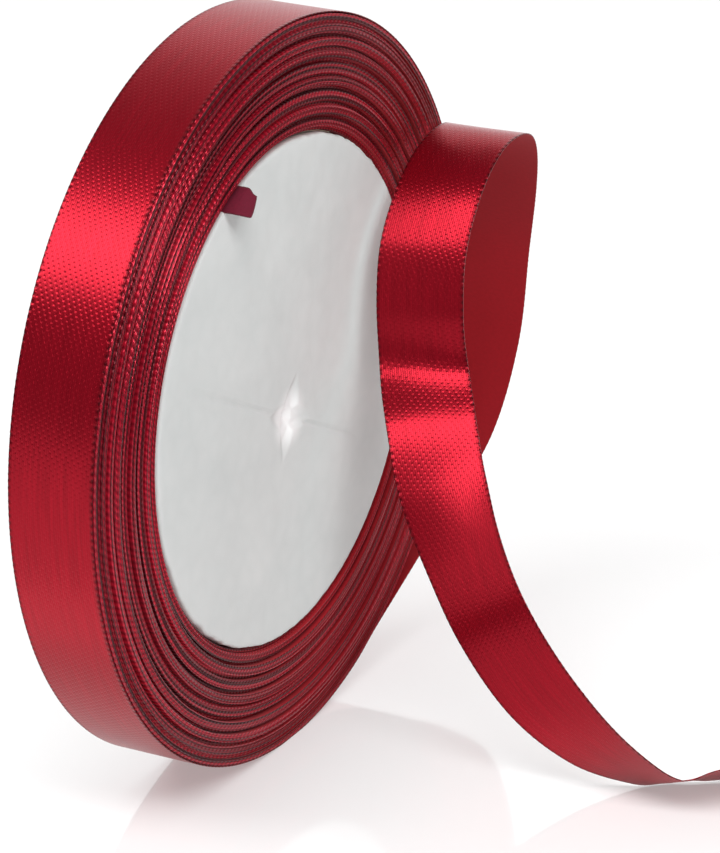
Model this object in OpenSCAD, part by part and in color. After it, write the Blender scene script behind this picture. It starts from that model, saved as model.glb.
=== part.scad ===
// Roll of satin gift ribbon on a foam disc core, standing on its rim.
// Millimetres. +Z is up and +Y runs along the roll's axis, away from the shown face.
// The origin is the centre of the roll's back face, on the axis.

/* [Ribbon] */
// Width of the ribbon
ribbon_w = 10; // [6:0.5:16]
// Thickness of one layer as it lies in the roll
ribbon_t = 0.125; // [0.1:0.005:0.2]
// Length of the whole ribbon
ribbon_len = 22860; // [15000:10:28000]
// How far the layers wander to each side of the middle
wander = 0.5; // [0.2:0.1:1]

/* [Core] */
// Diameter of the foam core
core_d = 57; // [45:0.5:70]
// Depth of the core's front face below the winding
core_recess = 0.5; // [0.2:0.1:1]
// Width across the star that the winder's chuck pressed in
star_w = 9; // [6:0.5:14]
// Depth of that star
star_depth = 0.6; // [0.3:0.1:1.5]
// How far the star sits below the middle of the core
star_drop = 3; // [0:0.5:6]
// Width of the crease across the foam
crease_w = 0.4; // [0.2:0.1:1]
// Depth of the crease
crease_depth = 0.3; // [0.1:0.1:1]

/* [Ribbon start] */
// Length of the tape round the core
tape_len = 20; // [10:1:40]
// Width of the tape
tape_w = 8; // [4:0.5:9]
// Thickness of the tape
tape_t = 0.1; // [0.05:0.01:0.2]
// How far the folded start of the ribbon stands out of the front face
start_out = 2; // [1:0.5:4]
// Length of the folded start round the core
start_len = 4; // [2:0.5:8]

/* [Outer turn] */
// Clearance between the outer turn and the winding inside it
turn_gap = 0.05; // [0.02:0.01:0.08]
// Angle below the horizontal where the free end leaves the roll
leave_angle = 60; // [45:1:65]

/* [Hidden] */

round_fn = 96;
cut = 1;                         // extra depth of a cut past a face
core_r = core_d / 2;
roll_w = ribbon_w + 2 * wander;
roll_r = sqrt(core_r * core_r + ribbon_len * ribbon_t / PI);
turn_inner_r = roll_r - ribbon_t;
winding_r = turn_inner_r - turn_gap;
mid_y = -roll_w / 2;             // the roll's middle plane
core_front_y = -roll_w + core_recess;

star_angle = -20;                // first arm of the star, from +X
star_waist = 0.3;                // radius between the arms, over the arms' radius
dent_r = 1.2;                    // small cone in the middle of the star
dent_depth = star_depth + 0.6;
crease_angle = -26;              // crease, from +X

tape_angle = tape_len / core_r * 180 / PI;
start_angle = 115;               // middle of the folded start, from +X
start_span = start_len / core_r * 180 / PI;
start_t = 2 * ribbon_t;          // the end is folded once
start_in = ribbon_w / 2;         // how deep the folded start sits in the roll

// The free end. Its points are set for this roll and grow with it.
design_roll_r = 41.5;
design_ribbon_w = 10;
reach = roll_r / design_roll_r;
spread = ribbon_w / design_ribbon_w;
hug_step = 8;                    // the free end starts flat on the roll
hug_steps = 2;
lay_r = roll_r + ribbon_t / 2;
run_out = [8.3, 17.6];           // points on the straight run off the rim, from where it leaves
span_steps = 3;                  // rings between two points of the route

// Each point is x, y from the roll's middle plane, height above the table,
// then the turn of the width from -Y towards +X and its tilt up, in degrees.
ROUTE = [
    [45, -2.5, 21.5, 3, -6],
    [49.5, -3.5, 31.5, 6, -7],
    [49.5, -4.6, 43, 10, -7],
    [45.7, -7.2, 52.6, 11, -6],
    [40.5, -9.6, 59.2, 9, -4],
    [35, -11, 62.2, 6, 0],
    [29.3, -11.2, 62, 5, 3],
    [23.8, -11.3, 59, 6, 2],
    [19, -11.6, 53.5, 9, 0],
    [16.5, -12.4, 47.4, 10, 0],
    [15.3, -13.5, 40.9, 13, 2],
    [11.2, -16.6, 35.9, 22, 8],
    [8.1, -19.5, 30.5, 24, 20],
    [5, -23.5, 24.7, 12, 36],
    [1.5, -29, 18.6, 4, 43],
    [0.5, -35, 12, -5, 46],
    [1.3, -41.3, 6.6, -25, 42],
    [3.6, -47, 3.1, -43, 32],
    [5.4, -49.6, 2.4, -45, 27],
    [7.7, -52.8, 2.9, -46, 33],
    [11.5, -58, 3.05, -48, 33],
    [16, -64, 2.3, -47, 22],
    [20, -70, 1.2, -46, 8],
    [24, -76, 0.2, -45, 0]
];

function unit(v) = v / norm(v);
function on_roll(a) = [lay_r * cos(a), 0, lay_r * sin(a) + roll_r, 0, 0];
function off_roll(d) = on_roll(-leave_angle) + d * [sin(leave_angle), 0, cos(leave_angle), 0, 0]
                       + d / run_out[1] * [0, -1, 0, 1, -4];
function placed(p) = [p[0] * reach, p[1] * spread, p[2] * reach, p[3], p[4]];

HUG = [for (i = [hug_steps:-1:0]) on_roll(-leave_angle - i * hug_step)];
STOPS = concat(HUG, [for (d = run_out) off_roll(d)], [for (p = ROUTE) placed(p)]);
last = len(STOPS) - 1;

// A smooth curve through the stops.
function stop(i) = i < 0 ? on_roll(-leave_angle - (hug_steps + 1) * hug_step) : STOPS[min(i, last)];
function between(i, u) =
    let (a = stop(i - 1), b = stop(i), c = stop(i + 1), d = stop(i + 2))
    0.5 * (2 * b + (c - a) * u + (2 * a - 5 * b + 4 * c - d) * u * u
           + (3 * b - a - 3 * c + d) * u * u * u);
LINE = concat([for (i = [0:last - 1], k = [0:span_steps - 1]) between(i, k / span_steps)],
              [STOPS[last]]);
rings = len(LINE);

function spot(i) = let (p = LINE[min(max(i, 0), rings - 1)]) [p[0], p[1] + mid_y, p[2] - roll_r];
function along(i) = unit(spot(i + 1) - spot(i - 1));
function width_way(turn, tilt) = [sin(turn) * cos(tilt), -cos(turn) * cos(tilt), sin(tilt)];
function across(i) = let (w = width_way(LINE[i][3], LINE[i][4]), t = along(i)) unit(w - (w * t) * t);
function ring_at(i) =
    let (c = spot(i), w = across(i) * ribbon_w / 2, n = cross(along(i), across(i)) * ribbon_t / 2)
    [c + w + n, c - w + n, c - w - n, c + w - n];

// Turns a shape about Z into one about the roll's axis, with angles from +X towards +Z.
module on_axis() {
    rotate([90, 0, 0]) children();
}

// A solid band round the axis, from front_y to back_y.
module band(inner_r, outer_r, front_y, back_y, from = 0, span = 360) {
    on_axis()
        rotate_extrude(start = from, angle = span, $fn = round_fn)
            translate([inner_r, -back_y]) square([outer_r - inner_r, back_y - front_y]);
}

module star_outline() {
    arm = star_w / 2;
    polygon([for (i = [0:7]) let (r = i % 2 == 0 ? arm : arm * star_waist, a = star_angle + i * 45)
        [r * cos(a), r * sin(a)]]);
}

module tape_shape() {
    band(core_r - tape_t, core_r, mid_y - tape_w / 2, mid_y + tape_w / 2,
         start_angle - tape_angle - start_span, tape_angle);
}

module start_shape(out) {
    band(core_r - start_t, core_r, -roll_w - out, -roll_w + start_in,
         start_angle - start_span / 2, start_span);
}

// What is pressed into the foam: the star with a small cone in its middle, and the crease.
module pressed_marks() {
    translate([0, star_depth, 0]) on_axis() linear_extrude(cut + star_depth) star_outline();
    translate([0, dent_depth, 0]) on_axis() cylinder(r1 = 0, r2 = dent_r, h = dent_depth, $fn = round_fn);
    rotate([0, -crease_angle, 0])
        translate([-core_d, -cut, -crease_w / 2]) cube([2 * core_d, cut + crease_depth, crease_w]);
}

// Solid foam disc with the pressed star, the crease and seats for the tape and the start.
module foam_core() {
    color("gainsboro")
        difference() {
            on_axis() cylinder(r = core_r, h = -core_front_y, $fn = round_fn);
            translate([0, core_front_y, -star_drop]) pressed_marks();
            tape_shape();
            start_shape(start_out);
        }
}

// Double-sided tape that holds the first layer on the foam.
module core_tape() {
    color("ivory") tape_shape();
}

// Folded start of the ribbon, held between the foam and the first layer.
module ribbon_start() {
    color("maroon") start_shape(start_out);
}

// All the layers inside the outer turn.
module ribbon_winding() {
    color("firebrick") band(core_r, winding_r, -roll_w, 0);
}

// The outermost layer, from which the free end leaves.
module outer_turn() {
    color("crimson")
        band(turn_inner_r, roll_r, mid_y - ribbon_w / 2, mid_y + ribbon_w / 2);
}

// The loose end: it leaves the rim, loops over and comes down to the table in front.
module free_end() {
    points = [for (i = [0:rings - 1]) each ring_at(i)];
    // The two wide sides share one diagonal, so a twist carries neither through the other.
    sides = [for (i = [0:rings - 2], k = [0:3]) let (a = 4 * i + k, b = 4 * i + (k + 1) % 4)
        each k == 2 ? [[a, b, a + 4], [b, b + 4, a + 4]] : [[a, b, b + 4], [a, b + 4, a + 4]]];
    end = 4 * (rings - 1);
    color("crimson")
        polyhedron(points, concat([[3, 2, 1, 0]], sides, [[end, end + 1, end + 2, end + 3]]),
                   convexity = 8);
}

foam_core();
core_tape();
ribbon_start();
ribbon_winding();
outer_turn();
free_end();
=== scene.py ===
"""Roll of satin gift ribbon on a foam disc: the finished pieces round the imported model.

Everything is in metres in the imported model's frame. +Z is up, +Y runs out of the roll's
back face, and the origin is the middle of that face.
"""

import logging
import math
from dataclasses import dataclass
from enum import Enum
from typing import Callable

import bmesh
import bpy
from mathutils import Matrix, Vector, noise


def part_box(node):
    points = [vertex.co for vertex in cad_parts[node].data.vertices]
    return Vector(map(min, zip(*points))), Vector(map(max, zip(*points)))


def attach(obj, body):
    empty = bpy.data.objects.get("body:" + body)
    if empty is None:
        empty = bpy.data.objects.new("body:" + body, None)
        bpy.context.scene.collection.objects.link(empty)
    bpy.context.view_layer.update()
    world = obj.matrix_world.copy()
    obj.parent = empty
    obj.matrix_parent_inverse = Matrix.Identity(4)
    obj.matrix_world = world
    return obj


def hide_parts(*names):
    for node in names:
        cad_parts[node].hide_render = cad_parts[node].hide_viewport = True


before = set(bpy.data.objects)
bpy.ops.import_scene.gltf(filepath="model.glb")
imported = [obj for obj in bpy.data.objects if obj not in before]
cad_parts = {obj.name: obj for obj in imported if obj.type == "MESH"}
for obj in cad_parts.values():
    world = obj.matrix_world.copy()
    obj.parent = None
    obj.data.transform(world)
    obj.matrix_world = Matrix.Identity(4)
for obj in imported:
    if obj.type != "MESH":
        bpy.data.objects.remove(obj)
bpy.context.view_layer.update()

log = logging.getLogger("ribbon_roll")

MM = 0.001
WEAVE = "weave"                     # the UV map that holds the cloth's flat place, in mm
RIBBON_WIDTH = 0.010                # a 3/8 inch ribbon as it is sold
RIBBON_THICKNESS = 0.125 * MM       # one layer with the air under it
CLOTH = 0.11 * MM                   # the cloth alone
MATH, RANGE, MIX = "ShaderNodeMath", "ShaderNodeMapRange", "ShaderNodeMix"
NOISE, BUMP, COORDINATES = "ShaderNodeTexNoise", "ShaderNodeBump", "ShaderNodeTexCoord"
VECTOR = "ShaderNodeVectorMath"
NOISE_SEED = 7 * 1.37               # the noise's third coordinate, the same in every run


# ---------------------------------------------------------------- helpers


class Side(Enum):
    """Material slots of a ribbon's mesh."""

    SATIN = 0
    BACK = 1


def linear(hex_colour: str) -> tuple[float, float, float, float]:
    """Turns an sRGB hex colour into linear RGBA.

    Args:
        hex_colour: Six hex digits, such as "C01A2B".

    Returns:
        Linear red, green, blue and an alpha of one.
    """
    parts = [int(hex_colour[i:i + 2], 16) / 255 for i in (0, 2, 4)]
    red, green, blue = (p / 12.92 if p <= 0.04045 else ((p + 0.055) / 1.055) ** 2.4 for p in parts)
    return red, green, blue, 1.0


def add_node(
    tree: bpy.types.NodeTree, kind: str, inputs: dict | None = None, **settings
) -> bpy.types.Node:
    """Adds one shader node with its settings, constants and links.

    Args:
        tree: The node tree it goes in.
        kind: The node's type name.
        inputs: For each input, by name or number, a constant or the output it is linked from.
        settings: The node's own properties.

    Returns:
        The new node.
    """
    node = tree.nodes.new(kind)
    for name, value in settings.items():
        setattr(node, name, value)
    for socket, value in (inputs or {}).items():
        if isinstance(value, bpy.types.NodeSocket):
            tree.links.new(value, node.inputs[socket])
        else:
            node.inputs[socket].default_value = value
    return node


def new_material(name: str) -> tuple[bpy.types.Material, bpy.types.NodeTree]:
    """Makes an empty material and returns it with its node tree."""
    material = bpy.data.materials.new(name)
    material.use_nodes = True
    material.node_tree.nodes.clear()
    return material, material.node_tree


def close_material(tree: bpy.types.NodeTree, shader: dict) -> None:
    """Ends a material's tree in its shader and output.

    Args:
        tree: The material's node tree.
        shader: The shader's inputs, as add_node takes them.
    """
    node = add_node(tree, "ShaderNodeBsdfPrincipled", shader)
    add_node(tree, "ShaderNodeOutputMaterial", {"Surface": node.outputs[0]})


def smooth(edge0: float, edge1: float, x: float) -> float:
    """Rises smoothly from 0 at edge0 to 1 at edge1."""
    t = min(max((x - edge0) / (edge1 - edge0), 0.0), 1.0)
    return t * t * (3 - 2 * t)


def wave_noise(x: float, row: float) -> float:
    """Gives smooth noise, from about -1 to 1, at a place in a row."""
    return noise.noise(Vector((x, row, NOISE_SEED)))


def finish_mesh(bm: bmesh.types.BMesh, name: str, *materials: bpy.types.Material) -> bpy.types.Object:
    """Makes a smooth-shaded object at the origin of a bmesh.

    Args:
        bm: The finished bmesh, which is freed.
        name: The piece's name.
        materials: Its materials, in slot order.

    Returns:
        The object, linked to the scene.
    """
    for face in bm.faces:
        face.smooth = True
    mesh = bpy.data.meshes.new(name)
    bm.to_mesh(mesh)
    bm.free()
    for material in materials:
        mesh.materials.append(material)
    piece = bpy.data.objects.new(name, mesh)
    bpy.context.scene.collection.objects.link(piece)
    return piece


def cloth_strip(
    length: float, steps: int, columns: tuple[float, ...], place: Callable[[float, float], Vector]
) -> bmesh.types.BMesh:
    """Lays a ribbon out flat as a grid and carries each point to its place.

    Args:
        length: The ribbon's flat length.
        steps: How many steps the length is cut into.
        columns: Where the lengthwise lines lie across the width, from the front edge to the back.
        place: Gives a point's place from its distance along and its distance across.

    Returns:
        A bmesh with the satin side outwards and the flat place of each corner in its UV map.
    """
    bm = bmesh.new()
    bmesh.ops.create_grid(bm, x_segments=steps, y_segments=len(columns) - 1, size=0.5)
    uv = bm.loops.layers.uv.new(WEAVE)
    flat = {
        vert: ((vert.co.x + 0.5) * length, columns[round((vert.co.y + 0.5) * (len(columns) - 1))])
        for vert in bm.verts
    }
    for face in bm.faces:
        for loop in face.loops:
            along, across = flat[loop.vert]
            loop[uv].uv = (along / MM, across / MM)
    for vert in bm.verts:
        vert.co = place(*flat[vert])
    bmesh.ops.reverse_faces(bm, faces=bm.faces)
    return bm


def give_thickness(piece: bpy.types.Object, thickness: float) -> None:
    """Gives a cloth its thickness, half to each side, with the back in its own material slot.

    Args:
        piece: The cloth.
        thickness: Its thickness.
    """
    solid = piece.modifiers.new("thickness", "SOLIDIFY")
    solid.thickness = thickness
    solid.offset = 0
    solid.use_rim = True
    solid.material_offset = Side.BACK.value


# ---------------------------------------------------------------- finishes


@dataclass(frozen=True)
class WovenSatin:
    """Polyester satin, warp-faced: long warp floats lie side by side along the ribbon.

    They bend the light into a band right across the width, tinted by the dye in the fibres,
    and the selvage loops glint as dots beside it, from their relief and as painted glints.
    """

    name: str = "woven_polyester_satin_crimson"
    dye: str = "B21026"
    deep: str = "840819"
    selvage: str = "5A0713"
    metallic: float = 0.7            # the dyed fibres tint their own gloss
    roughness: float = 0.3
    anisotropy: float = 0.85
    thread: float = 0.24             # mm between warps; the real 0.1 mm is too fine to show
    float_length: float = 1.3        # mm of warp between two dives under the weft
    stagger: float = 0.38            # of a float, from one warp to the next
    dive_share: float = 0.16         # of a float, over which it dips
    streak: tuple[float, float, float] = (0.12, 3.2, 1.0)    # long streaks of dye along the warp
    loop_pitch: float = 0.8          # mm between selvage loops
    loop_rise: tuple[float, float] = (0.08, 0.3)         # mm from a gap to a loop's top
    selvage_reach: tuple[float, float] = (0.45, 0.1)     # mm from the edge
    relief: float = 0.05             # mm of thread height
    float_height: float = 0.6        # shares of the relief
    warp_height: float = 0.8
    loop_height: float = 1.6
    half_width: float = RIBBON_WIDTH / MM / 2

    def build(self) -> bpy.types.Material:
        """Makes the material of the ribbon's shiny side."""
        material, tree = new_material(self.name)
        uv = add_node(tree, "ShaderNodeUVMap", uv_map=WEAVE).outputs[0]
        flat = add_node(tree, "ShaderNodeSeparateXYZ", {0: uv})
        along, across = flat.outputs[0], flat.outputs[1]
        row = add_node(tree, MATH, {0: across, 1: self.thread}, operation="DIVIDE").outputs[0]
        warp = add_node(tree, MATH, {0: row}, operation="FLOOR").outputs[0]
        shift = add_node(tree, MATH, {0: warp, 1: self.stagger}, operation="MULTIPLY").outputs[0]
        floats = add_node(tree, MATH, {0: along, 1: self.float_length}, operation="DIVIDE").outputs[0]
        phase = add_node(tree, MATH, {0: floats, 1: shift}, operation="ADD").outputs[0]
        dive = add_node(tree, MATH, {0: phase, 1: 0.5}, operation="PINGPONG").outputs[0]
        crest = add_node(tree, MATH, {0: row, 1: 0.5}, operation="PINGPONG").outputs[0]
        float_top = add_node(
            tree,
            RANGE,
            {0: dive, 1: 0.0, 2: self.dive_share, 3: 0.0, 4: self.float_height},
            interpolation_type="SMOOTHSTEP",
        ).outputs[0]
        streak_place = add_node(tree, "ShaderNodeMapping", {0: uv, 3: self.streak}).outputs[0]
        streaks = add_node(
            tree, NOISE, {"Vector": streak_place, "Scale": 1.0, "Detail": 3.0}
        ).outputs[0]
        edge = add_node(tree, MATH, {0: across}, operation="ABSOLUTE").outputs[0]
        inner, outer = (self.half_width - width for width in self.selvage_reach)
        selvage = add_node(tree, RANGE, {0: edge, 1: inner, 2: outer, 3: 0.0, 4: 1.0}).outputs[0]
        between = add_node(tree, MATH, {0: along, 1: self.loop_pitch / 2}, operation="PINGPONG").outputs[0]
        gap, full = self.loop_rise
        loops = add_node(tree, RANGE, {0: between, 1: gap, 2: full, 3: 0.0, 4: 1.0}).outputs[0]
        body = add_node(
            tree, MIX, {0: streaks, 6: linear(self.deep), 7: linear(self.dye)}, data_type="RGBA"
        ).outputs[2]
        # Painted glints: the darker selvage colour is lifted on each loop's top, so the loops show as
        # lighter dots.
        shaded = add_node(tree, RANGE, {0: loops, 1: 0.0, 2: 1.0, 3: 1.0, 4: 0.4}).outputs[0]
        selvage_and_painted_glints = add_node(tree, MATH, {0: selvage, 1: shaded}, operation="MULTIPLY").outputs[0]
        colour = add_node(
            tree, MIX, {0: selvage_and_painted_glints, 6: body, 7: linear(self.selvage)}, data_type="RGBA"
        ).outputs[2]
        threads = add_node(
            tree, MATH, {0: crest, 1: self.warp_height, 2: float_top}, operation="MULTIPLY_ADD"
        ).outputs[0]
        raised = add_node(tree, MATH, {0: loops, 1: self.loop_height}, operation="MULTIPLY").outputs[0]
        height = add_node(
            tree, MATH, {0: selvage, 1: raised, 2: threads}, operation="MULTIPLY_ADD"
        ).outputs[0]
        relief = add_node(
            tree, BUMP, {"Strength": 0.45, "Distance": self.relief * MM, "Height": height}
        ).outputs[0]
        tangent = add_node(tree, "ShaderNodeTangent", direction_type="UV_MAP", uv_map=WEAVE).outputs[0]
        close_material(
            tree,
            {
                "Base Color": colour,
                "Metallic": self.metallic,
                "Roughness": self.roughness,
                "Anisotropic": self.anisotropy,
                "Anisotropic Rotation": 0.25,
                "Specular IOR Level": 0.3,
                "Sheen Weight": 0.03,
                "Sheen Roughness": 0.4,
                "Normal": relief,
                "Tangent": tangent,
            },
        )
        return material


@dataclass(frozen=True)
class WoundSelvage:
    """Woven selvage, stacked layer on layer: each edge is a row of small round weft loops.

    The loops glint as dots where they face the light, and the colour paints these glints on each
    loop's top; between them the stack is painted a dark wine red as shade, where little light gets in.
    """

    name: str = "woven_polyester_selvage_stacked_painted_glint_shade"
    # crest is the painted glint colour of the loops' tops; the colour after it is painted shade.
    crest: str = "DC2440"
    painted_shade: str = "38030C"
    loop_pitch: float = 0.8          # mm between loops; the real 0.35 mm is too fine to show
    group: float = 0.45              # mm of roll between lighter and darker runs of painted glint and shade
    ridge: float = 0.42              # mm between ridges of edges; one layer alone is too fine to show
    between: float = 0.45            # painted brightness and height between two loops, over a loop's; the darker share is painted shade
    relief: float = 0.17             # mm of ridge height
    slip: float = 0.0217             # moves the loops a little from each layer to the next
    metallic: float = 0.5
    roughness: float = 0.32

    def build(self) -> bpy.types.Material:
        """Makes the material of the layers in the roll."""
        material, tree = new_material(self.name)
        uv = add_node(tree, "ShaderNodeUVMap", uv_map=WEAVE).outputs[0]
        along = add_node(tree, "ShaderNodeSeparateXYZ", {0: uv}).outputs[0]
        place = add_node(tree, COORDINATES).outputs["Object"]
        slip = add_node(tree, MATH, {0: along, 1: self.slip, 2: along}, operation="MULTIPLY_ADD").outputs[0]
        wave = add_node(tree, MATH, {0: slip, 1: self.loop_pitch / 2}, operation="PINGPONG").outputs[0]
        bead = add_node(
            tree,
            RANGE,
            {0: wave, 1: 0.0, 2: self.loop_pitch / 2, 3: 0.0, 4: 1.0},
            interpolation_type="SMOOTHSTEP",
        ).outputs[0]
        flat_on = add_node(tree, VECTOR, {0: place, 1: (1.0, 0.0, 1.0)}, operation="MULTIPLY").outputs[0]
        radius = add_node(tree, VECTOR, {0: flat_on}, operation="LENGTH").outputs["Value"]
        speck = add_node(
            tree, NOISE, {"W": radius, "Scale": 1 / (self.group * MM), "Detail": 3.0}, noise_dimensions="1D"
        ).outputs[0]
        # Lighter and darker runs of painted glint and shade, at random from ring to ring.
        run = add_node(
            tree, RANGE, {0: speck, 1: 0.38, 2: 0.6, 3: 0.1, 4: 1.0}, interpolation_type="SMOOTHSTEP"
        ).outputs[0]
        dotted = add_node(tree, RANGE, {0: bead, 1: 0.0, 2: 1.0, 3: self.between, 4: 1.0}).outputs[0]
        tone = add_node(tree, MATH, {0: dotted, 1: run}, operation="MULTIPLY").outputs[0]
        # Painted glints and shade: from the shade colour in the gaps and dark runs up to the glint colour on
        # the loops' tops.
        colour = add_node(
            tree, MIX, {0: tone, 6: linear(self.painted_shade), 7: linear(self.crest)}, data_type="RGBA"
        ).outputs[2]
        half_ridge = self.ridge * MM / 2
        out = add_node(tree, MATH, {0: speck, 1: half_ridge, 2: radius}, operation="MULTIPLY_ADD").outputs[0]
        slope = add_node(tree, MATH, {0: out, 1: half_ridge}, operation="PINGPONG").outputs[0]
        ridge = add_node(
            tree,
            RANGE,
            {0: slope, 1: 0.0, 2: half_ridge, 3: 0.0, 4: 1.0},
            interpolation_type="SMOOTHSTEP",
        ).outputs[0]
        height = add_node(tree, MATH, {0: ridge, 1: dotted}, operation="MULTIPLY").outputs[0]
        relief = add_node(
            tree, BUMP, {"Strength": 1.0, "Distance": self.relief * MM, "Height": height}
        ).outputs[0]
        tangent = add_node(tree, "ShaderNodeTangent", direction_type="UV_MAP", uv_map=WEAVE).outputs[0]
        close_material(
            tree,
            {
                "Base Color": colour,
                "Metallic": self.metallic,
                "Roughness": self.roughness,
                "Anisotropic": 0.85,
                "Anisotropic Rotation": 0.25,
                "Specular IOR Level": 0.4,
                "Normal": relief,
                "Tangent": tangent,
            },
        )
        return material


@dataclass(frozen=True)
class SatinBack:
    """The same cloth's matte side: short weft floats that scatter the light evenly."""

    name: str = "woven_polyester_matte_back"
    dye: str = "B01422"
    deep: str = "98101C"
    weft: float = 0.3                # mm between wefts; the real 0.15 mm is too fine to show

    def build(self) -> bpy.types.Material:
        """Makes the material of the ribbon's matte side."""
        material, tree = new_material(self.name)
        uv = add_node(tree, "ShaderNodeUVMap", uv_map=WEAVE).outputs[0]
        scale = (1 / self.weft, 0.6 / self.weft, 1.0)
        place = add_node(tree, "ShaderNodeMapping", {0: uv, 3: scale}).outputs[0]
        grain = add_node(tree, NOISE, {"Vector": place, "Scale": 1.0, "Detail": 2.0}).outputs[0]
        colour = add_node(
            tree, MIX, {0: grain, 6: linear(self.deep), 7: linear(self.dye)}, data_type="RGBA"
        ).outputs[2]
        relief = add_node(tree, BUMP, {"Strength": 0.3, "Distance": 0.03 * MM, "Height": grain}).outputs[0]
        close_material(
            tree,
            {
                "Base Color": colour,
                "Roughness": 0.75,
                "Specular IOR Level": 0.25,
                "Sheen Weight": 0.1,
                "Sheen Roughness": 0.5,
                "Normal": relief,
            },
        )
        return material


@dataclass(frozen=True)
class MouldedFoam:
    """Expanded polystyrene, cut from moulded board: matte, with faint beads pressed together."""

    name: str = "moulded_polystyrene_foam_white"
    white: str = "E4E6E5"
    shade: str = "D0D4D3"
    bead: float = 3.0                # mm across a bead
    grain: float = 0.5               # mm
    painted_star_light: str = "FCFCFC"            # painted light, lighter in and around the star
    front: float = -10.5             # mm, the face
    star_drop: float = 3.1           # mm below the middle
    star_middle: float = 1.2         # mm, where the painted light is at full strength
    star_reach: float = 4.2          # mm
    cloud: float = 0.35              # clouds per bead
    seam_share: float = 0.12         # of the tone that the seams make

    def build(self) -> bpy.types.Material:
        """Makes the foam's material."""
        material, tree = new_material(self.name)
        place = add_node(tree, COORDINATES).outputs["Object"]
        beads = add_node(
            tree,
            "ShaderNodeTexVoronoi",
            {"Vector": place, "Scale": 1 / (self.bead * MM)},
            feature="DISTANCE_TO_EDGE",
        ).outputs["Distance"]
        seams = add_node(tree, RANGE, {0: beads, 1: 0.0, 2: 0.4, 3: 0.0, 4: 1.0}).outputs[0]
        cloud = add_node(
            tree, NOISE, {"Vector": place, "Scale": self.cloud / (self.bead * MM), "Detail": 3.0}
        ).outputs[0]
        grains = add_node(
            tree, NOISE, {"Vector": place, "Scale": 1 / (self.grain * MM), "Detail": 2.0}
        ).outputs[0]
        tone = add_node(
            tree, MIX, {0: self.seam_share, 2: cloud, 3: seams}, data_type="FLOAT"
        ).outputs[0]
        board = add_node(
            tree, MIX, {0: tone, 6: linear(self.shade), 7: linear(self.white)}, data_type="RGBA"
        ).outputs[2]
        # Painted light: the face is painted lighter in and around the star's dimple.
        star = (0.0, self.front * MM, -self.star_drop * MM)
        away = add_node(tree, VECTOR, {0: place, 1: star}, operation="DISTANCE").outputs["Value"]
        pressed = add_node(
            tree, RANGE, {0: away, 1: self.star_middle * MM, 2: self.star_reach * MM, 3: 1.0, 4: 0.0},
            interpolation_type="SMOOTHSTEP",
        ).outputs[0]
        colour = add_node(
            tree, MIX, {0: pressed, 6: board, 7: linear(self.painted_star_light)}, data_type="RGBA"
        ).outputs[2]
        height = add_node(tree, MATH, {0: grains, 1: 0.4, 2: seams}, operation="MULTIPLY_ADD").outputs[0]
        relief = add_node(tree, BUMP, {"Strength": 0.12, "Distance": 0.1 * MM, "Height": height}).outputs[0]
        close_material(
            tree,
            {"Base Color": colour, "Roughness": 0.85, "Specular IOR Level": 0.3, "Normal": relief},
        )
        return material


@dataclass(frozen=True)
class TapeFilm:
    """Clear adhesive film, cast: a yellowish gloss, hardly seen under the ribbon."""

    name: str = "cast_adhesive_tape_film"
    tint: str = "E8E0C8"
    ripple: float = 1.5              # mm

    def build(self) -> bpy.types.Material:
        """Makes the tape's material."""
        material, tree = new_material(self.name)
        place = add_node(tree, COORDINATES).outputs["Object"]
        ripple = add_node(tree, NOISE, {"Vector": place, "Scale": 1 / (self.ripple * MM)}).outputs[0]
        relief = add_node(tree, BUMP, {"Strength": 0.2, "Distance": 0.05 * MM, "Height": ripple}).outputs[0]
        close_material(tree, {"Base Color": linear(self.tint), "Roughness": 0.3, "Normal": relief})
        return material


@dataclass(frozen=True)
class PolishedAcrylic:
    """White acrylic sheet lit from below: it keeps a pale mirror image of what stands on it."""

    name: str = "polished_white_acrylic"
    white: str = "D2D2D2"
    glow: float = 0.5

    def build(self) -> bpy.types.Material:
        """Makes the floor's material."""
        material, tree = new_material(self.name)
        close_material(
            tree,
            {
                "Base Color": linear(self.white),
                "Roughness": 0.07,
                "IOR": 1.9,
                "Emission Color": linear(self.white),
                "Emission Strength": self.glow,
            },
        )
        return material


# ---------------------------------------------------------------- the roll


@dataclass(frozen=True)
class RollSize:
    """The roll's sizes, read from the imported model."""

    core_r: float
    core_front: float
    winding_r: float
    turn_r: float                    # middle of the outer turn's cloth
    roll_r: float
    mid_y: float

    @classmethod
    def from_frame(cls) -> "RollSize":
        """Reads the sizes of the CAD pieces."""
        core_low, core_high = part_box("foam_core")
        turn_low, turn_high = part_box("outer_turn")
        roll_r = turn_high.z
        return cls(
            core_r=core_high.z,
            core_front=core_low.y,
            winding_r=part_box("ribbon_winding")[1].z,
            turn_r=roll_r - RIBBON_THICKNESS / 2,
            roll_r=roll_r,
            mid_y=(turn_low.y + turn_high.y) / 2,
        )


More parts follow.
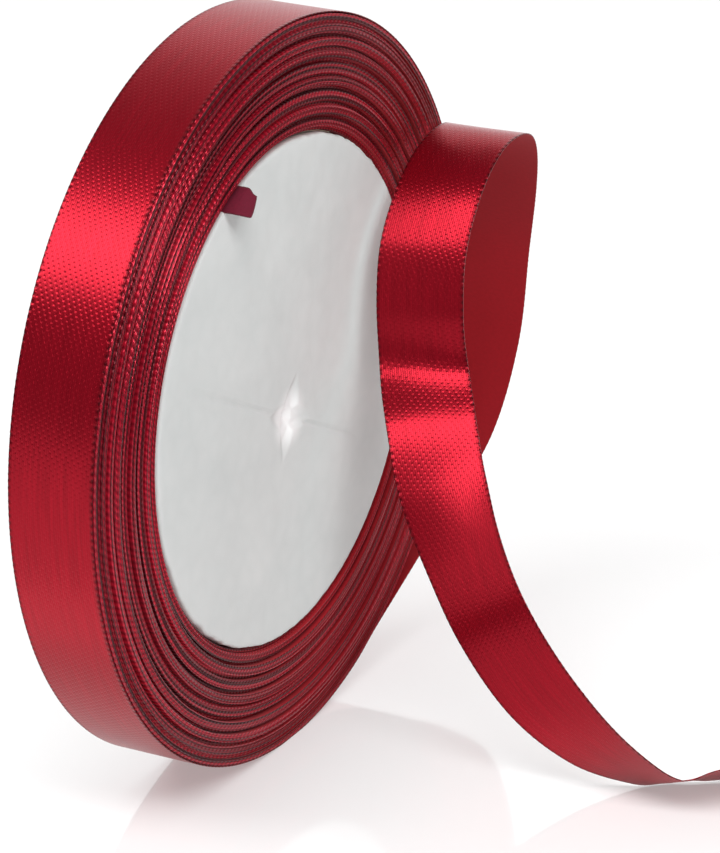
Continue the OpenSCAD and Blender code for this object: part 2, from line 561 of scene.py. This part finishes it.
@dataclass(frozen=True)
class WoundLayers:
    """All the layers under the outer turn, wound as one spiral."""

    size: RollSize
    steps_per_turn: int = 96
    start_angle: float = 115.0
    ledge_shift: float = 0.34 * MM   # how far a group of layers steps sideways
    jitter: float = 0.10 * MM        # how far single layers stray
    edge_column: float = 0.12 * MM   # the narrow outermost column of the mesh
    # Groups of layers from the core out: how many, and which way they step (front is -1).
    ledges: tuple[tuple[int, float], ...] = (
        (4, 1.3), (7, -0.2), (3, 0.9), (8, -0.9), (4, 0.5), (9, -0.6), (4, 0.8), (8, -1.0), (3, 0.6),
        (9, -0.4), (4, 1.0), (8, -0.8), (3, 0.5), (7, -1.0), (4, 0.7), (7, -0.5), (4, 0.6), (20, -0.2),
    )

    @property
    def turns(self) -> float:
        """How many turns the spiral makes."""
        return (self.size.winding_r - self.size.core_r - RIBBON_THICKNESS) / RIBBON_THICKNESS

    @property
    def flat_length(self) -> float:
        """The spiral's length."""
        first = self.size.core_r + RIBBON_THICKNESS / 2
        last = self.size.winding_r - RIBBON_THICKNESS / 2
        return math.pi * (last * last - first * first) / RIBBON_THICKNESS

    def sideways(self, turn: float) -> float:
        """How far a layer lies from the roll's middle plane.

        Args:
            turn: The turn, counted from the core, with its fraction.

        Returns:
            The shift along Y.
        """
        count, shift = 0.0, self.ledges[0][1]
        for (layers, before), (_, after) in zip(self.ledges, self.ledges[1:]):
            count += layers
            shift += (after - before) * smooth(count - 0.3, count + 0.3, turn)
        swell = 1 + 0.5 * wave_noise(turn % 1 * 2, round(turn / 8))
        stray = self.jitter * (wave_noise(turn * 2.7, 3) + 0.8 * wave_noise(turn * 7.1, 5))
        return shift * self.ledge_shift * swell + stray

    def build(self, satin: bpy.types.Material, back: bpy.types.Material) -> bpy.types.Object:
        """Winds the spiral.

        Args:
            satin: The material of the outer side and the edges.
            back: The material of the inner side.

        Returns:
            The piece.
        """
        first = self.size.core_r + RIBBON_THICKNESS / 2
        length = self.flat_length
        half = RIBBON_WIDTH / 2

        def place(along: float, across: float) -> Vector:
            """A point of the flat ribbon on the spiral."""
            turned = along / length * self.turns
            radius = first + turned * RIBBON_THICKNESS
            angle = math.radians(self.start_angle) + 2 * math.pi * turned
            y = self.size.mid_y + across + self.sideways(turned)
            return Vector((radius * math.cos(angle), y, radius * math.sin(angle)))

        columns = (-half, -half + self.edge_column, half - self.edge_column, half)
        bm = cloth_strip(length, round(self.turns * self.steps_per_turn), columns, place)
        piece = finish_mesh(bm, "wound_layers", satin, back)
        give_thickness(piece, CLOTH)
        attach(piece, "roll")
        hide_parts("ribbon_winding")
        return piece


@dataclass(frozen=True)
class FreeRoute:
    """Where the free end runs once it has left the roll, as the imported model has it."""

    size: RollSize
    leave_angle: float = 60.0
    hug_step: float = 8.0
    hug_steps: int = 2
    run_out: tuple[float, float] = (8.3, 17.6)
    # x, y from the roll's middle plane, height above the table, in mm, then the turn of the
    # width from -Y towards +X and its tilt up, in degrees.
    points: tuple[tuple[float, ...], ...] = (
        (45, -2.5, 21.5, 3, -6),
        (49.5, -3.5, 31.5, 6, -7),
        (49.5, -4.6, 43, 10, -7),
        (45.7, -7.2, 52.6, 11, -6),
        (40.5, -9.6, 59.2, 9, -4),
        (35, -11, 62.2, 6, 0),
        (29.3, -11.2, 62, 5, 3),
        (23.8, -11.3, 59, 6, 2),
        (19, -11.6, 53.5, 9, 0),
        (16.5, -12.4, 47.4, 10, 0),
        (15.3, -13.5, 40.9, 13, 2),
        (11.2, -16.6, 35.9, 22, 8),
        (8.1, -19.5, 30.5, 24, 20),
        (5, -23.5, 24.7, 12, 36),
        (1.5, -29, 18.6, 4, 43),
        (0.5, -35, 12, -5, 46),
        (1.3, -41.3, 6.6, -25, 42),
        (3.6, -47, 3.1, -43, 32),
        (5.4, -49.6, 2.4, -45, 27),
        (7.7, -52.8, 2.9, -46, 33),
        (11.5, -58, 3.05, -48, 33),
        (16, -64, 2.3, -47, 22),
        (20, -70, 1.2, -46, 8),
        (24, -76, 0.2, -45, 0),
    )

    def on_roll(self, angle: float) -> tuple[float, ...]:
        """Gives a stop on the roll's surface.

        Args:
            angle: The place on the rim, in degrees.

        Returns:
            The stop, in the same terms as points.
        """
        radius = self.size.roll_r / MM + RIBBON_THICKNESS / MM / 2
        turn = math.radians(angle)
        return radius * math.cos(turn), 0.0, radius * math.sin(turn) + self.size.roll_r / MM, 0.0, 0.0

    def off_roll(self, distance: float) -> tuple[float, ...]:
        """Gives a stop on the straight run off the rim.

        Args:
            distance: How far from where the ribbon leaves the roll, in mm.

        Returns:
            The stop, in the same terms as points.
        """
        leave = math.radians(self.leave_angle)
        share = distance / self.run_out[1]
        start = self.on_roll(-self.leave_angle)
        step = (distance * math.sin(leave), -share, distance * math.cos(leave), share, -4 * share)
        return tuple(a + b for a, b in zip(start, step))

    def stops(self) -> list[tuple[float, ...]]:
        """All the stops, the first of them a helper one step back on the roll."""
        steps = range(self.hug_steps + 1, -1, -1)
        on = [self.on_roll(-self.leave_angle - i * self.hug_step) for i in steps]
        return on + [self.off_roll(d) for d in self.run_out] + list(self.points)

    def stations(self, per_span: int = 24) -> list[tuple[Vector, Vector]]:
        """Places along a smooth curve through the stops.

        Args:
            per_span: How many places between two stops.

        Returns:
            For each place, the middle of the cloth and the way its width points.
        """
        stops = self.stops()
        found = []
        for i in range(1, len(stops) - 1):
            a, b, c, d = stops[i - 1], stops[i], stops[i + 1], stops[min(i + 2, len(stops) - 1)]
            for k in range(per_span):
                u = k / per_span
                row = [
                    0.5 * (2 * q + (r - p) * u + (2 * p - 5 * q + 4 * r - s) * u * u
                           + (3 * q - p - 3 * r + s) * u**3)
                    for p, q, r, s in zip(a, b, c, d)
                ]
                found.append(self._station(row))
        found.append(self._station(stops[-1]))
        return found

    def _station(self, row: list[float]) -> tuple[Vector, Vector]:
        """Turns one row of the route into a place.

        Args:
            row: X, Y, height, turn and tilt, as in points.

        Returns:
            The middle of the cloth and the way its width points.
        """
        turn, tilt = math.radians(row[3]), math.radians(row[4])
        middle = Vector((row[0] * MM, row[1] * MM + self.size.mid_y, row[2] * MM - self.size.roll_r))
        way = Vector((math.sin(turn) * math.cos(tilt), -math.cos(turn) * math.cos(tilt), math.sin(tilt)))
        return middle, way


@dataclass(frozen=True)
class LooseRibbon:
    """The outer turn of the roll and the free end that leaves it, one length of cloth."""

    size: RollSize
    route: FreeRoute
    step: float = 0.26 * MM
    tuck: float = 12.0               # degrees of the turn's start that lie under the free end
    lift: float = 30.0               # degrees over which the turn climbs onto its own start
    scallop: float = 0.035 * MM      # depth of the selvage loops
    loop_pitch: float = 0.8 * MM

    def stations(self) -> list[tuple[Vector, Vector]]:
        """Places along the outer turn and then the free end."""
        first_hug = -self.route.leave_angle - self.route.hug_step * self.route.hug_steps
        start = -self.route.leave_angle - 360 - self.tuck
        count = 360
        found = []
        for i in range(count):
            angle = start + (first_hug - start) * i / count
            climb = smooth(first_hug - self.lift, first_hug, angle)
            radius = self.size.turn_r + RIBBON_THICKNESS * climb
            turn = math.radians(angle)
            middle = Vector((radius * math.cos(turn), self.size.mid_y, radius * math.sin(turn)))
            found.append((middle, Vector((0, -1, 0))))
        return found + self.route.stations()

    def build(self, satin: bpy.types.Material, back: bpy.types.Material) -> tuple[bpy.types.Object, float]:
        """Lays the cloth along its route.

        Args:
            satin: The material of the shiny side.
            back: The material of the matte side.

        Returns:
            The piece and the cloth's flat length.
        """
        stations = self.stations()
        reach = [0.0]
        for (a, _), (b, _) in zip(stations, stations[1:]):
            reach.append(reach[-1] + (b - a).length)
        length = reach[-1]
        half = RIBBON_WIDTH / 2
        spot = {}

        def at(along: float) -> tuple[Vector, Vector]:
            """The middle of the cloth and the way of its width, at a distance along it."""
            key = round(along / MM, 4)
            if key not in spot:
                low, high = 0, len(reach) - 1
                while high - low > 1:
                    mid = (low + high) // 2
                    if reach[mid] <= along:
                        low = mid
                    else:
                        high = mid
                u = (along - reach[low]) / max(reach[high] - reach[low], 1e-12)
                (a, wa), (b, wb) = stations[low], stations[high]
                tangent = (b - a).normalized()
                way = wa.lerp(wb, u)
                way = (way - way.dot(tangent) * tangent).normalized()
                spot[key] = (a.lerp(b, u), way)
            return spot[key]

        def place(along: float, across: float) -> Vector:
            """A point of the flat ribbon on its route, with the selvage's small loops."""
            middle, way = at(along)
            edge = smooth(half - 0.2 * MM, half, abs(across))
            loops = self.scallop * edge * math.cos(2 * math.pi * along / self.loop_pitch)
            out = across - math.copysign(loops, across)
            return middle - way * out

        columns = tuple(c * half for c in (-1, -0.985, -0.93, -0.5, 0, 0.5, 0.93, 0.985, 1))
        bm = cloth_strip(length, round(length / self.step), columns, place)
        piece = finish_mesh(bm, "loose_ribbon_satin", satin, back)
        give_thickness(piece, CLOTH)
        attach(piece, "loose_ribbon")
        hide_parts("outer_turn", "free_end")
        return piece, length


@dataclass(frozen=True)
class FoamDisc:
    """The foam core: a thick disc with a star and a crease pressed into its face."""

    size: RollSize
    steps: int = 360
    fine_r: float = 9 * MM           # the middle, where the rings are close together
    fine_step: float = 0.2 * MM
    coarse_step: float = 0.55 * MM
    rim_round: float = 0.35 * MM
    star_r: float = 4.5 * MM
    star_depth: float = 0.5 * MM
    star_angle: float = -20.0
    star_drop: float = 3.0 * MM
    star_waist: float = 0.45
    dent_r: float = 1.2 * MM
    dent_depth: float = 0.6 * MM
    crease_angle: float = -26.0
    crease_half: float = 0.45 * MM
    crease_depth: float = 0.22 * MM
    crease_left: tuple[float, float] = (27 * MM, 20 * MM)    # where it fades out and is full
    crease_right: tuple[float, float] = (21 * MM, 14 * MM)
    swell: float = 0.05 * MM         # slow unevenness of the face
    swell_span: float = 2.2 * MM
    jag: float = 0.16 * MM           # how far the rim falls short everywhere
    # Angles in degrees at which a torn stretch begins, is full, begins to end and ends.
    torn_arcs: tuple[tuple[float, ...], ...] = ((35, 50, 75, 95), (190, 205, 240, 262))
    torn_depth: float = 0.55 * MM
    torn_span: float = 3.2           # degrees
    nick_span: float = 1.1           # degrees

    def pressed(self, x: float, z: float) -> float:
        """How deep the face is pressed in at a point.

        Args:
            x: The point's X.
            z: The point's Z.

        Returns:
            The depth.
        """
        z += self.star_drop
        radius = math.hypot(x, z)
        turned = (math.degrees(math.atan2(z, x)) - self.star_angle) % 90
        arm = 1 - abs(turned / 45 - 1)                       # 1 midway between two arms
        reach = self.star_r * (self.star_waist + (1 - self.star_waist) * (1 - arm) ** 1.5)
        star = self.star_depth * (1 - smooth(reach * 0.5, reach * 1.15, radius))
        dent = self.dent_depth * max(0.0, 1 - radius / self.dent_r)
        lean = math.radians(self.crease_angle)
        off = abs(-x * math.sin(lean) + z * math.cos(lean))
        fade = smooth(*self.crease_left, math.hypot(x, z)) if x < 0 else smooth(*self.crease_right, radius)
        crease = self.crease_depth * (1 - smooth(0, self.crease_half, off)) * fade
        return max(star, crease) + dent

    def rim(self, angle: float) -> float:
        """Gives how far the foam's edge falls short of the winding.

        Args:
            angle: The place on the rim, in degrees.

        Returns:
            The missing depth.
        """
        rough = sum(smooth(a, b, angle) * smooth(d, c, angle) for a, b, c, d in self.torn_arcs)
        torn = 0.5 + 0.5 * wave_noise(angle / self.torn_span, 11)
        fine = 0.5 + 0.5 * wave_noise(angle / self.nick_span, 17)
        return self.jag * (0.4 + fine) + self.torn_depth * rough * max(0.0, torn - 0.35)

    def build(self, foam: bpy.types.Material) -> bpy.types.Object:
        """Turns the disc and presses its marks in.

        Args:
            foam: The disc's material.

        Returns:
            The piece.
        """
        edge = self.size.core_r
        front, back = self.size.core_front, 0.0
        radii = [i * self.fine_step for i in range(round(self.fine_r / self.fine_step))]
        count = round((edge - self.rim_round - self.fine_r) / self.coarse_step)
        radii += [self.fine_r + (edge - self.rim_round - self.fine_r) * i / count for i in range(count + 1)]
        profile = [(r, front) for r in radii]
        part_round = self.rim_round * 0.3
        profile += [(edge - part_round, front + part_round), (edge, front + self.rim_round)]
        profile += [(edge, (front + back) / 2), (edge, back - self.rim_round)]
        profile += [(edge - self.rim_round, back), (edge * 0.5, back), (0.0, back)]
        bm = bmesh.new()
        verts = [bm.verts.new((r, y, 0)) for r, y in profile]
        edges = [bm.edges.new(pair) for pair in zip(verts, verts[1:])]
        bmesh.ops.spin(
            bm, geom=verts + edges, cent=(0, 0, 0), axis=(0, 1, 0), angle=2 * math.pi,
            steps=self.steps, use_merge=True, use_duplicate=False,
        )
        bmesh.ops.remove_doubles(bm, verts=bm.verts, dist=1e-7)
        bmesh.ops.recalc_face_normals(bm, faces=bm.faces)
        for vert in bm.verts:
            radius = math.hypot(vert.co.x, vert.co.z)
            angle = math.degrees(math.atan2(vert.co.z, vert.co.x)) % 360
            if radius > edge * 0.9:
                short = self.rim(angle) * smooth(edge * 0.9, edge, radius)
                vert.co.x *= 1 - short / radius
                vert.co.z *= 1 - short / radius
            if vert.co.y < front + 1e-6:
                vert.co.y += self.pressed(vert.co.x, vert.co.z)
                across, up = vert.co.x / self.swell_span, vert.co.z / self.swell_span
                vert.co.y += self.swell * wave_noise(across, up)
        piece = finish_mesh(bm, "foam_disc", foam)
        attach(piece, "roll")
        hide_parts("foam_core")
        return piece


@dataclass(frozen=True)
class FoldedStart:
    """The ribbon's folded first end, which stands a little out of the roll's face."""

    size: RollSize
    middle_angle: float = 115.0
    span: float = 4.0 * MM           # along the core
    out: float = 2.0 * MM            # out of the front face
    inside: float = 5.0 * MM         # into the roll
    leaf: float = 0.13 * MM          # between the two leaves
    sag: float = 0.25 * MM           # of the middle, towards the core
    slant: float = 0.9 * MM          # of the fold
    lean: float = 0.55 * MM          # of the tip, towards the core
    narrowing: float = 0.2           # of the tip
    flat_area: float = 5.6e-5        # a corner cut at a slant and folded double

    def build(self, satin: bpy.types.Material, back: bpy.types.Material) -> bpy.types.Object:
        """Folds a short piece of cloth double and stands it against the first layer.

        Args:
            satin: The material of its outside.
            back: The material of its inside.

        Returns:
            The piece.
        """
        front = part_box("ribbon_winding")[0].y - self.out
        depth = self.out + self.inside
        radius = self.size.core_r - self.leaf
        turn_in = math.pi * self.leaf / 2
        length = 2 * depth + turn_in

        def place(along: float, across: float) -> Vector:
            """A point of the cloth: forwards on the core side, round the fold and back."""
            share = across / RIBBON_WIDTH + 0.5
            sag = self.sag * math.sin(math.pi * share)
            if along < depth:
                y, off = front + depth - along, -self.leaf / 2
            elif along > depth + turn_in:
                y, off = front + (along - depth - turn_in), self.leaf / 2
            else:
                bend = (along - depth) / turn_in * math.pi
                y = front - self.leaf / 2 * math.sin(bend)
                off = -self.leaf / 2 * math.cos(bend)
            proud = smooth(front + self.out, front, y)
            slant = self.slant * proud * (share - 0.3)
            lean = -self.lean * proud * proud - sag * proud
            narrowing = 1 - self.narrowing * proud * proud
            angle = math.radians(self.middle_angle) - (share - 0.5) * narrowing * self.span / radius
            r = radius + off + lean
            return Vector((r * math.cos(angle), y + slant, r * math.sin(angle)))

        half = RIBBON_WIDTH / 2
        columns = tuple(half * (i / 6 - 1) for i in range(13))
        bm = cloth_strip(length, 64, columns, place)
        piece = finish_mesh(bm, "folded_start", satin, back)
        give_thickness(piece, CLOTH * 0.9)
        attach(piece, "roll")
        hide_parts("ribbon_start")
        return piece


# ---------------------------------------------------------------- the studio


@dataclass(frozen=True)
class PaperBackdrop:
    """Seamless white paper behind the roll, evenly lit: the floor mirrors it as white."""

    name: str = "matte_white_paper"
    white: str = "F6F6F6"
    glow: float = 0.85
    fibre: float = 2.5               # mm
    distance: float = 2.4
    half_width: float = 2.6
    height: float = 2.6

    def build(self, away: Vector, table: float) -> None:
        """Stands the paper up.

        Args:
            away: The level direction from the roll to the paper.
            table: The height of the table's top.
        """
        material, tree = new_material(self.name)
        place = add_node(tree, COORDINATES).outputs["Object"]
        fibres = add_node(tree, NOISE, {"Vector": place, "Scale": 1 / (self.fibre * MM)}).outputs[0]
        relief = add_node(tree, BUMP, {"Strength": 0.1, "Distance": 0.1 * MM, "Height": fibres}).outputs[0]
        close_material(
            tree,
            {
                "Base Color": linear(self.white),
                "Roughness": 0.9,
                "Emission Color": linear(self.white),
                "Emission Strength": self.glow,
                "Normal": relief,
            },
        )
        bm = bmesh.new()
        bmesh.ops.create_grid(bm, x_segments=8, y_segments=4, size=1.0)
        side = Vector((-away.y, away.x, 0.0))
        for vert in bm.verts:
            across, up = vert.co.x * self.half_width, (vert.co.y + 1) / 2 * self.height
            vert.co = away * self.distance + side * across + Vector((0, 0, table + up))
        finish_mesh(bm, "backdrop", material)


@dataclass(frozen=True)
class Softbox:
    """A rectangular studio light that points at the roll."""

    name: str
    towards: tuple[float, float, float]      # from the roll to the light
    distance: float
    width: float
    height: float
    radiance: float

    def build(self, target: Vector) -> None:
        """Hangs the light.

        Args:
            target: The point it is turned to.
        """
        light = bpy.data.lights.new(self.name, "AREA")
        light.shape = "RECTANGLE"
        light.size, light.size_y = self.width, self.height
        light.energy = self.radiance * math.pi * self.width * self.height
        lamp = bpy.data.objects.new(self.name, light)
        way = Vector(self.towards).normalized()
        lamp.location = target + way * self.distance
        lamp.rotation_euler = way.to_track_quat("Z", "Y").to_euler()
        bpy.context.scene.collection.objects.link(lamp)


@dataclass(frozen=True)
class Studio:
    """The floor, the lights and the camera."""

    aim: Vector = Vector((4.1, -17.0, -4.3)) * MM
    azimuth: float = -62.2
    elevation: float = 21.9
    distance: float = 498 * MM
    lens: float = 228.8
    sensor: float = 36.0
    floor_half: float = 3.0
    sky: str = "FFFFFF"
    sky_strength: float = 0.16
    softboxes: tuple[Softbox, ...] = (
        Softbox("key_softbox", (-0.52, -0.1, 0.85), 0.62, 1.3, 0.26, 7.0),
        Softbox("front_softbox", (-0.16, -0.87, 0.47), 0.7, 0.3, 0.6, 0.4),
    )

    def build(self, table: float) -> None:
        """Sets the stage.

        Args:
            table: The height of the table's top.
        """
        bm = bmesh.new()
        bmesh.ops.create_grid(bm, x_segments=8, y_segments=8, size=self.floor_half)
        bmesh.ops.translate(bm, verts=bm.verts, vec=(0, 0, table))
        floor = finish_mesh(bm, "floor", PolishedAcrylic().build())
        turn = math.radians(self.azimuth)
        PaperBackdrop().build(Vector((-math.sin(turn), math.cos(turn), 0.0)), table)
        world = bpy.data.worlds.new("studio")
        world.use_nodes = True
        world.node_tree.nodes.clear()
        tree = world.node_tree
        shade = add_node(tree, "ShaderNodeBackground", {0: linear(self.sky), 1: self.sky_strength})
        add_node(tree, "ShaderNodeOutputWorld", {0: shade.outputs[0]})
        bpy.context.scene.world = world
        bpy.context.scene.view_settings.view_transform = "Standard"
        for box in self.softboxes:
            box.build(self.aim)
        self._camera()

    def _camera(self) -> None:
        """Places the camera."""
        turn, rise = math.radians(self.azimuth), math.radians(self.elevation)
        back = Vector((math.sin(turn) * math.cos(rise), -math.cos(turn) * math.cos(rise), math.sin(rise)))
        data = bpy.data.cameras.new("camera")
        data.lens, data.sensor_width, data.sensor_fit = self.lens, self.sensor, "HORIZONTAL"
        camera = bpy.data.objects.new("camera", data)
        camera.location = self.aim + back * self.distance
        camera.rotation_euler = back.to_track_quat("Z", "Y").to_euler()
        bpy.context.scene.collection.objects.link(camera)
        bpy.context.scene.camera = camera


# ---------------------------------------------------------------- assembly


def report(piece: bpy.types.Object) -> None:
    """Logs a piece's name and how many faces it has."""
    log.info("%s: %d faces", piece.name, len(piece.data.polygons))


def main() -> None:
    logging.basicConfig(level=logging.INFO)
    size = RollSize.from_frame()
    satin, back = WovenSatin().build(), SatinBack().build()

    disc = FoamDisc(size).build(MouldedFoam().build())
    report(disc)

    layers = WoundLayers(size)
    wound = layers.build(WoundSelvage().build(), back)
    report(wound)

    start = FoldedStart(size)
    # Painted shade: the folded start is the same crimson ribbon, given a darker wine colour for the shade it
    # lies in.
    wine = SatinBack("woven_polyester_fold_painted_shade", dye="7C1030", deep="560A20").build()
    folded = start.build(wine, wine)
    report(folded)

    loose, length = LooseRibbon(size, FreeRoute(size)).build(satin, back)
    report(loose)

    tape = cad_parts["core_tape"]
    film = TapeFilm().build()
    for slot in tape.material_slots:
        slot.material = film
    report(tape)

    Studio().build(table=-size.roll_r)


if __name__ == "__main__":
    main()
